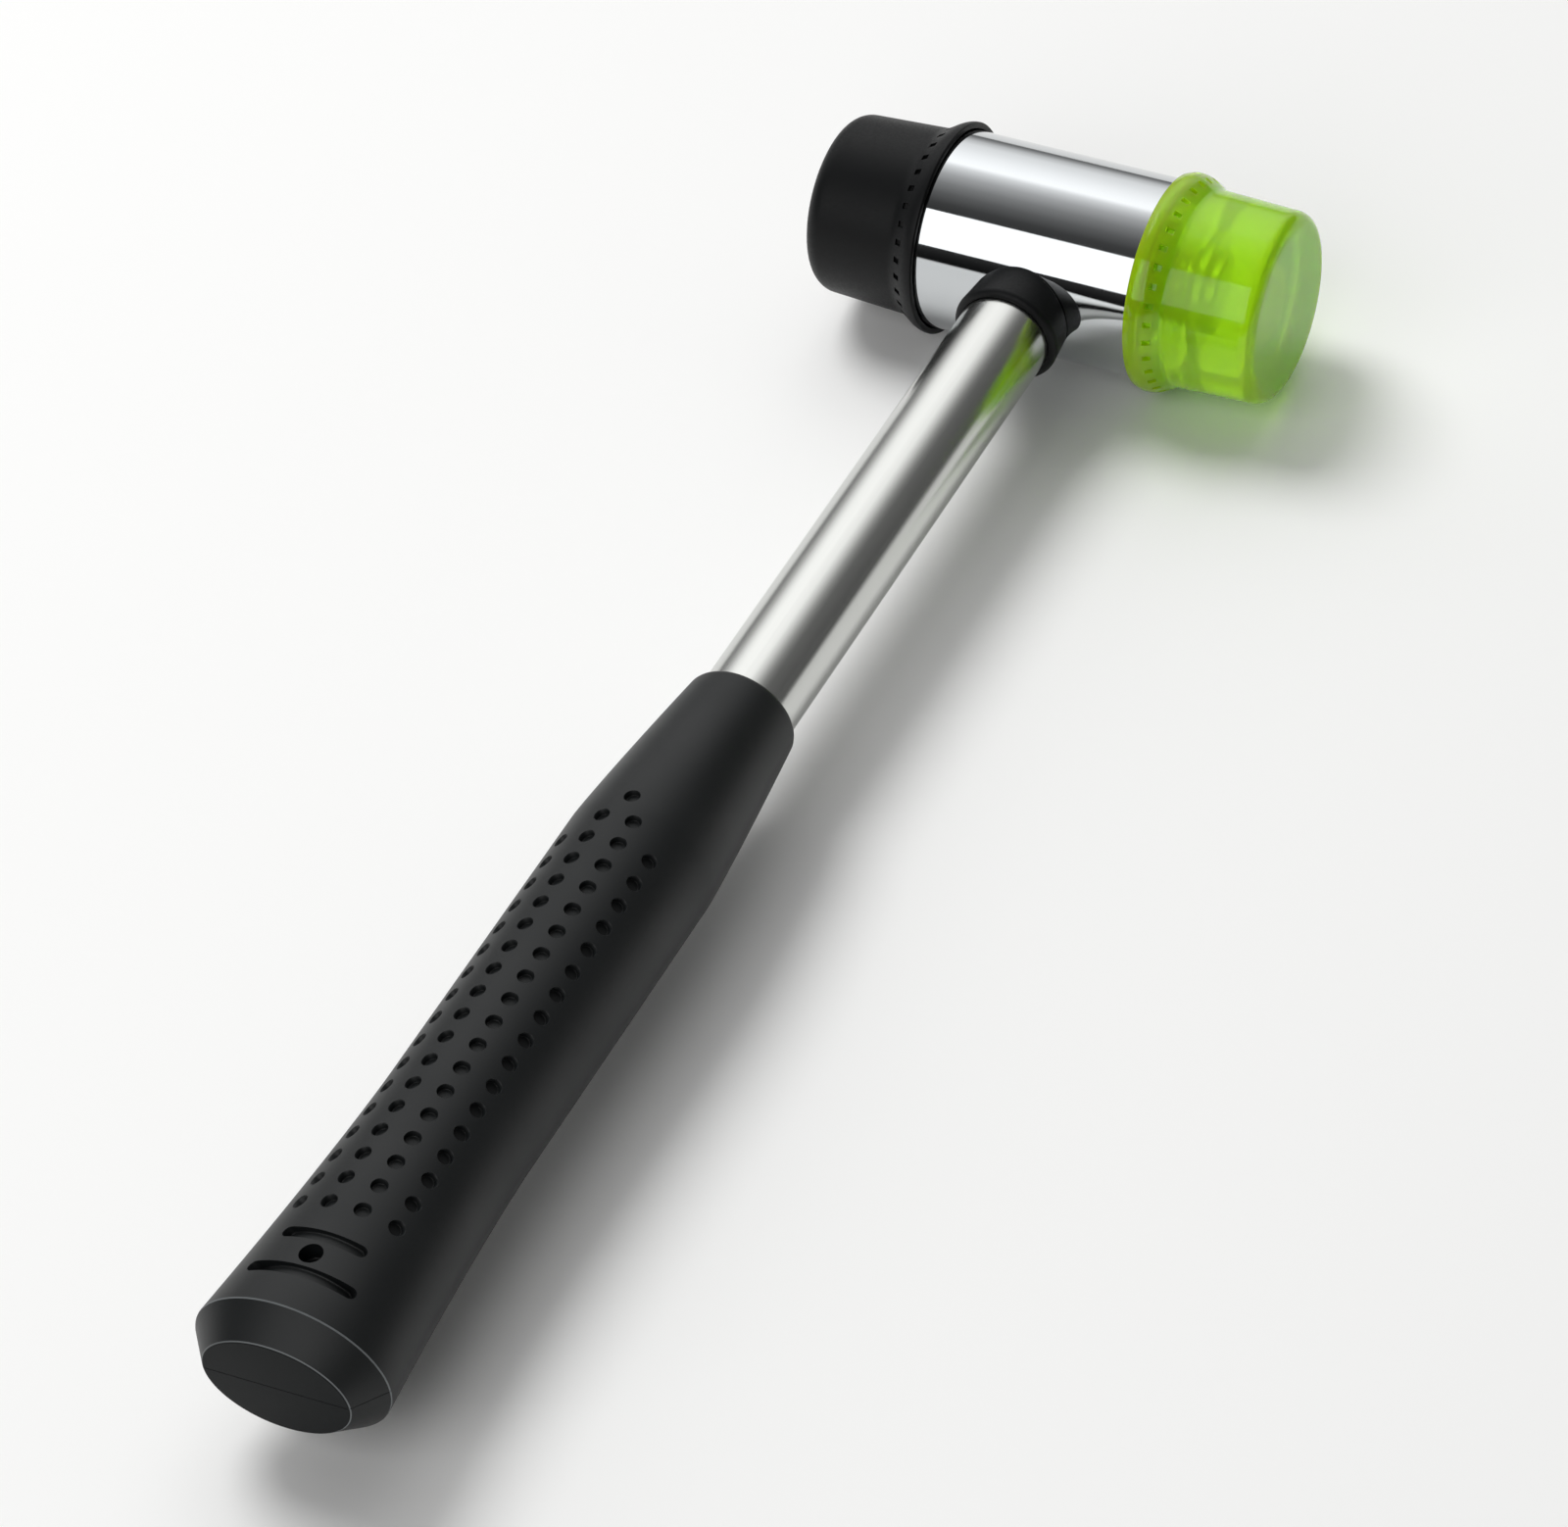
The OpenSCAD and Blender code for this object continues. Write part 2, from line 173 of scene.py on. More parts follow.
along_barrel = Matrix.Translation(head) @ Matrix.Rotation(pi / 2, 4, "Y")
half_outline = [
    (0, barrel_half - stud_hole, 0), (thread_r + thread_gap, barrel_half - stud_hole, 0),
    (thread_r + thread_gap, barrel_half, barrel_edge), (barrel_r, barrel_half, barrel_edge)]
far_half = [(r, -h, edge) for r, h, edge in reversed(half_outline)]
barrel = shaped("barrel", skin(bmesh.new(), turned(
    divided(eased(half_outline + far_half), barrel_row), along_barrel, segments=barrel_turns)))
from_side = Matrix.Translation(head) @ Matrix.Rotation(-pi / 2, 4, "X")
tube_top = tube_high.y - head.y
socket_r = tube_r + fit_gap
socket_mouth = -barrel_r - overrun
socket = shaped("socket", skin(bmesh.new(), turned(
    [(0, tube_top), (socket_r, tube_top), (socket_r, socket_mouth), (0, socket_mouth)], from_side)))
cut = barrel.modifiers.new("socket", "BOOLEAN")
cut.object = socket
cut.solver = "MANIFOLD"
settled(barrel)
bpy.data.objects.remove(socket)
barrel.data.materials.clear()
barrel.data.materials.append(chrome)
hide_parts("head_barrel")
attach(barrel, "head_and_handle")


# Tube: the handle's core, drawn steel tube sunk in the barrel and pinned there.
# It is plated with satin chrome, and fine lines from drawing run along it.

tube_wall = 1.2 * MM
tube_edge = 0.3 * MM
tube_row = 4 * MM
line_wide, line_long = 0.5 * MM, 60 * MM

# Satin chrome: a soft mirror, faintly streaked along the tube.
satin, tree, shader = blank("satin chrome plate on drawn tube")
shader.inputs["Base Color"].default_value = paint("#cbccc9")
shader.inputs["Metallic"].default_value = 1
place = add(tree, "ShaderNodeTexCoord")
# Drawing lines are far finer than this in life; they are drawn 0.5 mm wide so that they show.
stretch = add(tree, "ShaderNodeMapping", {
    "Vector": place.outputs["Object"], "Scale": (1 / line_wide, 1 / line_long, 1 / line_wide)})
lines = add(tree, "ShaderNodeTexNoise", {"Vector": stretch.outputs["Vector"], "Scale": 1, "Detail": 3})
haze = add(tree, "ShaderNodeMapRange", {
    "Value": lines.outputs["Fac"], "From Min": 0.3, "From Max": 0.7, "To Min": 0.17, "To Max": 0.24})
tree.links.new(haze.outputs["Result"], shader.inputs["Roughness"])
ripple = add(tree, "ShaderNodeBump", {
    "Height": lines.outputs["Fac"], "Strength": 0.25, "Distance": 0.004 * MM})
tree.links.new(ripple.outputs["Normal"], shader.inputs["Normal"])

tube_from, tube_to = tube_low.y - head.y, tube_top
tube = shaped("tube", skin(bmesh.new(), turned(divided(eased([
    (tube_r - tube_wall, tube_from, tube_edge), (tube_r, tube_from, tube_edge),
    (tube_r, tube_to, tube_edge), (tube_r - tube_wall, tube_to, tube_edge)]), tube_row),
    from_side), loop=True))
tube.data.materials.append(satin)
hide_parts("handle_tube")
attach(tube, "head_and_handle")


# Pin: a rolled spring pin through the tube, driven in along the barrel from a stud hole.
# It is spring steel, blued and oiled, and the studs hide it.

# Blued spring steel: a dark, half-dull metal, patched with blue and grey.
pin_steel, tree, shader = blank("blued spring steel")
shader.inputs["Metallic"].default_value = 1
shader.inputs["Roughness"].default_value = 0.42
place = add(tree, "ShaderNodeTexCoord")
patches = add(tree, "ShaderNodeTexNoise", {
    "Vector": place.outputs["Object"], "Scale": 1 / (2 * MM), "Detail": 3})
blueing = add(tree, "ShaderNodeMix", {
    "Factor": patches.outputs["Fac"], "A": paint("#3a3e47"), "B": paint("#5b5a5c")}, data_type="RGBA")
tree.links.new(blueing.outputs["Result"], shader.inputs["Base Color"])
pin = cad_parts["handle_pin"]
pin.data.materials.clear()
pin.data.materials.append(pin_steel)


# Collar: a short rubber sleeve pushed up the tube against the barrel, so its top is cut to a saddle.
# It is moulded in black rubber with a fine matt skin, and hides the socket's mouth.

collar_low, collar_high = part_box("neck_collar")
collar_r = (collar_high.x - collar_low.x) / 2
collar_bore_r = tube_r + fit_gap
collar_edge, collar_rim = 0.95 * MM, 0.1 * MM
collar_top_r, collar_top_at = collar_bore_r + 0.25 * MM, -11 * MM
saddle_edge = 0.2 * MM
collar_turns = 256
meeting_steps = 8

# Moulded rubber: near black, with a dull sheen that the grain breaks up.
rubber, tree, shader = blank("moulded black rubber")
shader.inputs["Specular IOR Level"].default_value = 0.18
place = add(tree, "ShaderNodeTexCoord")
# The mould's spark-eroded skin: a grain of about a third of a millimetre.
grain = add(tree, "ShaderNodeTexNoise", {
    "Vector": place.outputs["Object"], "Scale": 1 / (0.35 * MM), "Detail": 2})
dust = add(tree, "ShaderNodeTexNoise", {
    "Vector": place.outputs["Object"], "Scale": 1 / (14 * MM), "Detail": 4})
tone = add(tree, "ShaderNodeMix", {
    "Factor": dust.outputs["Fac"], "A": paint("#0c0d0e"), "B": paint("#131415")}, data_type="RGBA")
tree.links.new(tone.outputs["Result"], shader.inputs["Base Color"])
sheen = add(tree, "ShaderNodeMapRange", {
    "Value": grain.outputs["Fac"], "From Min": 0.3, "From Max": 0.7, "To Min": 0.4, "To Max": 0.52})
tree.links.new(sheen.outputs["Result"], shader.inputs["Roughness"])
pimple = add(tree, "ShaderNodeBump", {
    "Height": grain.outputs["Fac"], "Strength": 0.3, "Distance": 0.03 * MM})
tree.links.new(pimple.outputs["Normal"], shader.inputs["Normal"])


def saddle(radius, turn):
    """Distance from the barrel's axis to its skin, down the tube, at a place round the collar."""
    return -sqrt((barrel_r + fit_gap) ** 2 - (radius * sin(turn)) ** 2)


def collar_top(turn):
    """Radius and height at which the collar's tapered skin meets the barrel, at a place round it."""
    widest = collar_low.y - head.y + collar_edge
    radius = collar_r
    for step in range(meeting_steps):
        height = saddle(radius, turn)
        share = (height - collar_top_at) / (widest - collar_top_at)
        radius = collar_top_r + (collar_r - collar_top_r) * share
    return radius, height


def collar_loop(turn):
    """The collar's cut face at one place round it, from the bore over the lower rim to the saddle."""
    rim = collar_low.y - head.y
    loop = eased([
        (collar_bore_r, rim, collar_rim), (collar_r, rim, collar_edge),
        (*collar_top(turn), saddle_edge), (collar_bore_r, saddle(collar_bore_r, turn), 0)])
    return [head + Vector((r * cos(turn), y, r * sin(turn))) for r, y in loop]


collar = shaped("collar", skin(
    bmesh.new(), [collar_loop(2 * pi * i / collar_turns) for i in range(collar_turns)], loop=True))
collar.data.materials.append(rubber)
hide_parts("neck_collar")
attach(collar, "head_and_handle")


# Plug: a hard plastic cap hammered into the tube's lower end, so that the tube can't punch out of the butt.
# It is moulded polyethylene, held by its ribs, and the grip hides it.

# Polyethylene: a waxy black, slightly uneven where it flowed into the mould.
plug_plastic, tree, shader = blank("black polyethylene")
shader.inputs["Roughness"].default_value = 0.4
place = add(tree, "ShaderNodeTexCoord")
flow = add(tree, "ShaderNodeTexNoise", {
    "Vector": place.outputs["Object"], "Scale": 1 / (3 * MM), "Detail": 2})
tone = add(tree, "ShaderNodeMix", {
    "Factor": flow.outputs["Fac"], "A": paint("#1b1c1e"), "B": paint("#27282a")}, data_type="RGBA")
tree.links.new(tone.outputs["Result"], shader.inputs["Base Color"])
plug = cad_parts["tube_end_plug"]
plug.data.materials.clear()
plug.data.materials.append(plug_plastic)


# Grip: a sleeve of thermoplastic rubber, moulded in two halves of a mould and pushed on to the tube.
# It has an oval flare to a bevelled butt, rows of dimples, two slots and a round hole on each broad side.

grip_low, grip_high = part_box("grip_sleeve")
grip_len = grip_high.y - grip_low.y
grip_turn = radians(-4)
grip_r = 10.95 * MM
butt_half = (14.1 * MM, 11 * MM)
flare_len, flare_ease = 48 * MM, 1.5
taper_len, taper_ease = 31 * MM, 1.2
lip_wall, lip_edge = 1.25 * MM, 1.2 * MM
bevel_len, bevel_depth, bevel_edge = 4.4 * MM, 3.5 * MM, 0.5 * MM
butt_floor = 9 * MM
grip_row, grip_turns = 0.9 * MM, 160
dimple_wide, dimple_deep = 2.2 * MM, 0.95 * MM
dimple_pitch, dimple_start, dimple_end = 4.36 * MM, 22.1 * MM, 27 * MM
dimple_angle = radians(25.2)
slot_wide, slot_deep, slot_edge = 1.8 * MM, 0.8 * MM, 0.3 * MM
slots = [(16.3 * MM, radians(27)), (10.2 * MM, radians(36))]
slot_end_steps, slot_half_steps = 8, 12
hole_r, hole_deep = 1.6 * MM, 2.6 * MM
hole_at = sum(at for at, half_angle in slots) / len(slots)
hole_turns, dimple_turns = 48, 28
dimple_crease = 40
seam_wide, seam_deep = 0.12 * MM, 0.05 * MM
# Painted highlight lines on the bevel's two edges, partly wear: where each lies from the end face, and its
# half width.
painted_edge_lines = [(0.13 * MM, 0.06 * MM), (bevel_len, 0.11 * MM)]
end_facing = -0.9

grip_bore_r = tube_r + fit_gap
lip_r = grip_bore_r + lip_wall
taper_from, taper_to = grip_len - taper_len, grip_len - lip_edge
upright_grip = Matrix.Translation((head.x, grip_low.y, head.z)) @ Matrix.Rotation(-pi / 2, 4, "X")
along_grip = upright_grip @ Matrix.Rotation(grip_turn, 4, "Z")


def grip_oval(at):
    """Half width and half height of the grip at a distance from the butt's end face."""
    flare = max(0, (flare_len - max(at, bevel_len)) / (flare_len - bevel_len)) ** flare_ease
    taper = max(0, (at - taper_from) / (taper_to - taper_from)) ** taper_ease
    round_part = grip_r - (grip_r - lip_r) * taper
    return [round_part + (half - grip_r) * flare for half in butt_half]


def grip_reach(at, angle):
    """Distance from the handle's axis to the grip's skin, at an angle from its broad side."""
    wide, high = grip_oval(at)
    return 1 / sqrt((sin(angle) / wide) ** 2 + (cos(angle) / high) ** 2)


def grip_point(angle, radius, at):
    """A point in the part's frame, from its place round, off and along the handle's axis."""
    return along_grip @ Vector((radius * sin(angle), -radius * cos(angle), at))


def oval_ring(wide, high, at):
    """One ring of the grip's skin."""
    turns = [2 * pi * i / grip_turns for i in range(grip_turns)]
    return [along_grip @ Vector((wide * cos(turn), high * sin(turn), at)) for turn in turns]


butt_stations = eased([
    (2 * bevel_depth, 0, 0), (bevel_depth, 0, bevel_edge),
    (0, bevel_len, bevel_edge), (0, 2 * bevel_len, 0)])
flank_count = ceil((taper_to - 2 * bevel_len) / grip_row)
flank = [2 * bevel_len + (taper_to - 2 * bevel_len) * i / flank_count for i in range(1, flank_count)]
lip = eased([(lip_r, taper_to - lip_edge, 0), (lip_r, grip_len, lip_edge), (grip_bore_r, grip_len, 0)])[1:]
bore = [Vector((grip_bore_r, butt_floor)), Vector((0, butt_floor))]
grip_rings = [oval_ring(0, 0, 0)]
grip_rings += [oval_ring(*(half - inset for half in grip_oval(at)), at) for inset, at in butt_stations[1:]]
grip_rings += [oval_ring(*grip_oval(at), at) for at in flank]
grip_rings += [oval_ring(r, r, at) for r, at in lip + bore]
grip = shaped("grip", skin(bmesh.new(), grip_rings))


def slot_rings(at, half_angle, side):
    """Rings of the shape that a slot is cut with: round-ended, part of the way round the grip."""
    floor_r = grip_oval(at)[1] - slot_deep
    mouth_r = grip_reach(at, half_angle) + overrun
    section = eased([
        (-slot_wide / 2, mouth_r, 0), (-slot_wide / 2, floor_r, slot_edge),
        (slot_wide / 2, floor_r, slot_edge), (slot_wide / 2, mouth_r, 0)])
    end_angle = asin(slot_wide / 2 / floor_r)
    end_turns = [pi / 2 * k / slot_end_steps for k in range(slot_end_steps + 1)]
    ends = [(half_angle + end_angle * sin(turn), cos(turn)) for turn in end_turns]
    middle = [(half_angle * k / slot_half_steps, 1) for k in range(1 - slot_half_steps, slot_half_steps)]
    stations = [(-angle, share) for angle, share in reversed(ends)] + middle + ends
    return [[grip_point(side + angle, radius, at + across * share) for across, radius in section]
            for angle, share in stations]


def seam_rings(stations):
    """Rings of the thin band that cuts the mould's parting line, across the butt and its bevel."""
    corners = [(seam_deep * a, seam_wide / 2 * b) for a, b in ((1, 1), (1, -1), (-1, -1), (-1, 1))]
    return [[along_grip @ Vector((x + out[0] * deep, across, at + out[1] * deep))
             for deep, across in corners] for x, at, out in stations]


sides = [0, pi]
cuts = bmesh.new()
for side in sides:
    for at, half_angle in slots:
        skin(cuts, slot_rings(at, half_angle, side))
    faced = along_grip @ Matrix.Rotation(side, 4, "Z")
    mouth = faced @ Matrix.Translation((0, 0, hole_at)) @ Matrix.Rotation(pi / 2, 4, "X")
    hole_from = grip_oval(hole_at)[1] - hole_deep
    hole_to = grip_oval(hole_at)[1] + overrun
    skin(cuts, turned(eased([
        (0, hole_from, 0), (hole_r, hole_from, slot_edge), (hole_r, hole_to, 0), (0, hole_to, 0)]),
        mouth, segments=hole_turns))
edge_line = [(grip_oval(at)[0] - inset, at) for inset, at in butt_stations[1:-1]]
right_line = []
for (x, at), (x_on, at_on) in zip(edge_line, edge_line[1:]):
    along = Vector((x_on - x, at_on - at)).normalized()
    right_line.append((x, at, (along.y, -along.x)))
left_line = [(-x, at, (-out[0], out[1])) for x, at, out in reversed(right_line)]
seam = seam_rings(left_line + right_line)
seam_ends = [[sum(ring, Vector()) / len(ring)] * len(ring) for ring in (seam[0], seam[-1])]
skin(cuts, [seam_ends[0], *seam, seam_ends[1]])
grip_cuts = shaped("grip cuts", cuts)

dimples = []
ring_count = int((grip_len - dimple_start - dimple_end) / dimple_pitch)
rows = [(row * dimple_angle, ring_count - int(abs(row))) for row in (-1.5, -0.5, 0.5, 1.5)]
for side in sides:
    places = [(angle, dimple_start + k * dimple_pitch) for angle, count in rows for k in range(count)]
    places.append((0, dimple_start + ring_count * dimple_pitch))
    dimples += [(grip_point(side + angle, grip_reach(at, angle), at),
                 grip_point(side + angle, 1, at) - grip_point(0, 0, at)) for angle, at in places]


def seated(name, places):
    """A cloud of points for pockets: each place is (point, direction out of the surface)."""
    mesh = bpy.data.meshes.new(name)
    mesh.from_pydata([point for point, out in places], [], [])
    outs = mesh.attributes.new("out", "FLOAT_VECTOR", "POINT")
    outs.data.foreach_set("vector", [share for point, out in places for share in out])
    cloud = bpy.data.objects.new(name, mesh)
    bpy.context.scene.collection.objects.link(cloud)
    return cloud


# Repeated pockets: one cutter is set on every seat, square to the surface, and cut out of the body.
pockets = bpy.data.node_groups.new("sunk pockets", "GeometryNodeTree")
sockets = {}
for name, kind in [
        ("Body", "NodeSocketGeometry"), ("Seats", "NodeSocketObject"), ("Cutter", "NodeSocketObject"),
        ("Other cuts", "NodeSocketObject"), ("Pocket size", "NodeSocketVector"),
        ("Finish", "NodeSocketMaterial")]:
    sockets[name] = pockets.interface.new_socket(name, in_out="INPUT", socket_type=kind).identifier
pockets.interface.new_socket("Body", in_out="OUTPUT", socket_type="NodeSocketGeometry")
given = add(pockets, "NodeGroupInput").outputs
cloud = add(pockets, "GeometryNodeObjectInfo", {"Object": given["Seats"]})
cutter = add(pockets, "GeometryNodeObjectInfo", {"Object": given["Cutter"]})
other = add(pockets, "GeometryNodeObjectInfo", {"Object": given["Other cuts"]})
out = add(pockets, "GeometryNodeInputNamedAttribute", {"Name": "out"}, data_type="FLOAT_VECTOR")
square = add(pockets, "FunctionNodeAlignRotationToVector", {"Vector": out.outputs["Attribute"]}, axis="Z")
copies = add(pockets, "GeometryNodeInstanceOnPoints", {
    "Points": cloud.outputs["Geometry"], "Instance": cutter.outputs["Geometry"],
    "Rotation": square.outputs["Rotation"], "Scale": given["Pocket size"]})
solid = add(pockets, "GeometryNodeRealizeInstances", {"Geometry": copies.outputs["Instances"]})
every = add(pockets, "GeometryNodeJoinGeometry", {"Geometry": solid.outputs["Geometry"]})
pockets.links.new(other.outputs["Geometry"], every.inputs["Geometry"])
sunk = add(pockets, "GeometryNodeMeshBoolean", {
    "Mesh 1": given["Body"], "Mesh 2": every.outputs["Geometry"]}, operation="DIFFERENCE", solver="MANIFOLD")
whole = add(pockets, "GeometryNodeRealizeInstances", {"Geometry": sunk.outputs["Mesh"]})
finished = add(pockets, "GeometryNodeSetMaterial", {
    "Geometry": whole.outputs["Geometry"], "Material": given["Finish"]})
add(pockets, "NodeGroupOutput", {"Body": finished.outputs["Geometry"]})


def pocketed(piece, places, cutter, size, finish, cuts=None, crease=CREASE):
    """Cuts a pocket of that size at each place, and makes the result the piece's own mesh."""
    cloud = seated(piece.name + " seats", places)
    modifier = piece.modifiers.new("pockets", "NODES")
    modifier.node_group = pockets
    modifier[sockets["Seats"]] = cloud
    modifier[sockets["Cutter"]] = cutter
    modifier[sockets["Other cuts"]] = cuts
    modifier[sockets["Pocket size"]] = size
    modifier[sockets["Finish"]] = finish
    settled(piece, crease)
    for helper in (cloud, cutter, cuts):
        if helper:
            bpy.data.objects.remove(helper)


# Thermoplastic rubber with a matt moulded skin: near black, with a soft sheen that breaks up in the grain.
grip_rubber, tree, shader = blank("thermoplastic rubber")
shader.inputs["Specular IOR Level"].default_value = 0.35
place = add(tree, "ShaderNodeTexCoord")
grain = add(tree, "ShaderNodeTexNoise", {
    "Vector": place.outputs["Object"], "Scale": 1 / (0.3 * MM), "Detail": 2})
wear = add(tree, "ShaderNodeTexNoise", {
    "Vector": place.outputs["Object"], "Scale": 1 / (22 * MM), "Detail": 5})
tone = add(tree, "ShaderNodeMix", {
    "Factor": wear.outputs["Fac"], "A": paint("#0e1011"), "B": paint("#16191a")}, data_type="RGBA")
# A patchy pale grey line is painted along each of the bevel's two edges: partly rubbed wear, partly a
# painted highlight where the edges catch the light.
along = add(tree, "ShaderNodeSeparateXYZ", {"Vector": place.outputs["Object"]})
for edge_at, half_wide in painted_edge_lines:
    edge_highlight_mask = add(tree, "ShaderNodeMath", {
        0: along.outputs["Y"], 1: grip_low.y + edge_at, 2: half_wide}, operation="COMPARE")
    patchy = add(tree, "ShaderNodeMath", {
        0: edge_highlight_mask.outputs["Value"], 1: wear.outputs["Fac"]}, operation="MULTIPLY")
    tone = add(tree, "ShaderNodeMix", {
        "Factor": patchy.outputs["Value"], "A": tone.outputs["Result"], "B": paint("#8d9294")},
        data_type="RGBA")
tree.links.new(tone.outputs["Result"], shader.inputs["Base Color"])
sheen = add(tree, "ShaderNodeMapRange", {
    "Value": wear.outputs["Fac"], "From Min": 0.3, "From Max": 0.7, "To Min": 0.42, "To Max": 0.52})
tree.links.new(sheen.outputs["Result"], shader.inputs["Roughness"])
pimple = add(tree, "ShaderNodeBump", {
    "Height": grain.outputs["Fac"], "Strength": 0.3, "Distance": 0.025 * MM})
tree.links.new(pimple.outputs["Normal"], shader.inputs["Normal"])

# The dimple's cutter is one unit wide and deep.
# It has a flat floor with an eased edge, steep walls and a flared mouth.
dimple = shaped("dimple", skin(bmesh.new(), turned(eased([
    (0, -1, 0), (0.47, -1, 0.12), (0.5, -0.12, 0), (0.56, 0.03, 0), (0.56, 0.5, 0), (0, 0.5, 0)]),
    Matrix(), segments=dimple_turns)))
dimple_size = (dimple_wide, dimple_wide, dimple_deep)
pocketed(grip, dimples, dimple, dimple_size, grip_rubber, grip_cuts, dimple_crease)

# The end face comes coarser from the mould than the rest and no hand polishes it, so it mirrors far less.
# Its faces look down the handle's axis and lie no deeper than the parting line.
butt_rubber = grip_rubber.copy()
butt_rubber.name = "thermoplastic rubber, coarse end face"
butt_rubber.node_tree.nodes["Principled BSDF"].inputs["Specular IOR Level"].default_value = 0.1
grip.data.materials.append(butt_rubber)
butt_slot = grip.data.materials.find(butt_rubber.name)
for face in grip.data.polygons:
    if face.normal.y < end_facing and face.center.y < grip_low.y + seam_deep:
        face.material_index = butt_slot
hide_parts("grip_sleeve")
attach(grip, "head_and_handle")


# Studs: one in each tip, cold headed from steel wire with an anchor flange and a rolled thread.
# They are zinc plated, moulded into the tips and screwed into the barrel's ends.

stud_low, stud_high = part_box("plastic_tip_stud")
stud_hold = head.x + barrel_half - stud_low.x
stud_embed = stud_high.x - head.x - barrel_half
flange_r = (stud_high.z - stud_low.z) / 2
flange_len, nose_len, stud_edge = 1.6 * MM, 2 * MM, 0.6 * MM
flange_at = stud_embed - nose_len - flange_len
flange_edge = 0.25 * MM
thread_pitch, thread_deep = 1.25 * MM, 0.77 * MM
thread_row = 0.1 * MM
crest_share, root_share = 0.125, 0.75
stud_turns = 96

# Zinc plate: a pale, slightly cloudy metal.
zinc, tree, shader = blank("zinc plated steel")
shader.inputs["Metallic"].default_value = 1
place = add(tree, "ShaderNodeTexCoord")
spangle = add(tree, "ShaderNodeTexNoise", {
    "Vector": place.outputs["Object"], "Scale": 1 / (1.5 * MM), "Detail": 4})
tone = add(tree, "ShaderNodeMix", {
    "Factor": spangle.outputs["Fac"], "A": paint("#b9bcbf"), "B": paint("#d9dbdc")}, data_type="RGBA")
tree.links.new(tone.outputs["Result"], shader.inputs["Base Color"])
haze = add(tree, "ShaderNodeMapRange", {
    "Value": spangle.outputs["Fac"], "From Min": 0.3, "From Max": 0.7, "To Min": 0.25, "To Max": 0.4})
tree.links.new(haze.outputs["Result"], shader.inputs["Roughness"])


def at_end(side):
    """Places a shape that is drawn along Z from the barrel's end, at the +X or the -X end."""
    middle = head + Vector((side * barrel_half, 0, 0))
    return Matrix.Translation(middle) @ Matrix.Rotation(side * pi / 2, 4, "Y")


def thread_radius(height, turn):
    """Radius of a right-hand thread with flat crests and roots."""
    phase = (height / thread_pitch - turn / (2 * pi)) % 1
    off_crest = abs(2 * phase - 1)
    share = min(1, max(0, (off_crest - crest_share) / (root_share - crest_share)))
    return thread_r - thread_deep * share


def stud_rings(place):
    """Rings of a stud: a chamfered thread up to the flange, then the flange and the plain nose."""
    turns = [2 * pi * i / stud_turns for i in range(stud_turns)]
    count = ceil((flange_at + stud_hold) / thread_row)
    heights = [-stud_hold + (flange_at + stud_hold) * i / count for i in range(count + 1)]
    rings = [[place @ Vector((0, 0, -stud_hold))] * stud_turns]
    for height in heights:
        limit = min(thread_r, thread_r - stud_edge + height + stud_hold)
        reach = [min(limit, thread_radius(height, turn)) for turn in turns]
        rings.append([
            place @ Vector((r * cos(turn), r * sin(turn), height)) for r, turn in zip(reach, turns)])
    flange_to = flange_at + flange_len
    return rings + turned(eased([
        (thread_r - thread_deep, flange_at, 0), (flange_r, flange_at, flange_edge),
        (flange_r, flange_to, flange_edge), (thread_r, flange_to, 0),
        (thread_r, stud_embed, stud_edge), (0, stud_embed, 0)]), place, segments=stud_turns)


tips = [("plastic", 1), ("rubber", -1)]
for name, side in tips:
    stud = shaped(name + "_stud", skin(bmesh.new(), stud_rings(at_end(side))))
    stud.data.materials.append(zinc)
    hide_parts(name + "_tip_stud")
    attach(stud, name + "_stud")


# Plastic tip: the hard striking face, injection moulded round its stud in clear green plastic.
# Its skirt laps over the barrel's end under a rounded bead, with a ring of small notches.

plastic_low, plastic_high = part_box("plastic_tip")
face_at = plastic_high.x - head.x - barrel_half
skirt_lap = head.x + barrel_half - plastic_low.x
seat_gap = 0.15 * MM
skirt_r = barrel_r + seat_gap
skirt_edge = 0.6 * MM
rim_edge = 0.25 * MM
bead_r = (plastic_high.z - plastic_low.z) / 2
bead_len, bead_crest = 5.2 * MM, 1.3 * MM
fall_len = bead_len - bead_crest
plastic_rim_r = skirt_r + 1.1 * MM
plastic_root_r = barrel_r - 0.15 * MM
plastic_face_r, plastic_face_edge = barrel_r - 0.6 * MM, 2.2 * MM
notch_count, plastic_notch_at = 34, 1.6 * MM
notch_size = (1.1 * MM, 0.9 * MM, 0.8 * MM)
wave_steps = 16
tip_turns = 256
tip_row, face_steps = 0.8 * MM, 12

# Clear green plastic: pale where it is thin, deep lime where light goes far through it, with a glossy skin.
green, tree, shader = blank("clear green acetate")
shader.inputs["Base Color"].default_value = paint("#bdfb22")
shader.inputs["Subsurface Weight"].default_value = 1
shader.inputs["Subsurface Radius"].default_value = (1, 1, 0.2)
shader.inputs["Subsurface Scale"].default_value = 8 * MM
shader.inputs["Transmission Weight"].default_value = 0.55
shader.inputs["Specular IOR Level"].default_value = 0.2
shader.inputs["IOR"].default_value = 1.49
place = add(tree, "ShaderNodeTexCoord")
scuff = add(tree, "ShaderNodeTexNoise", {
    "Vector": place.outputs["Object"], "Scale": 1 / (5 * MM), "Detail": 4})
haze = add(tree, "ShaderNodeMapRange", {
    "Value": scuff.outputs["Fac"], "From Min": 0.35, "From Max": 0.7, "To Min": 0.06, "To Max": 0.14})
tree.links.new(haze.outputs["Result"], shader.inputs["Roughness"])
depth = add(tree, "ShaderNodeVolumeAbsorption", {"Color": (0.728, 0.912, 0.032, 1), "Density": 3})
tree.links.new(depth.outputs["Volume"], tree.nodes["Material Output"].inputs["Volume"])


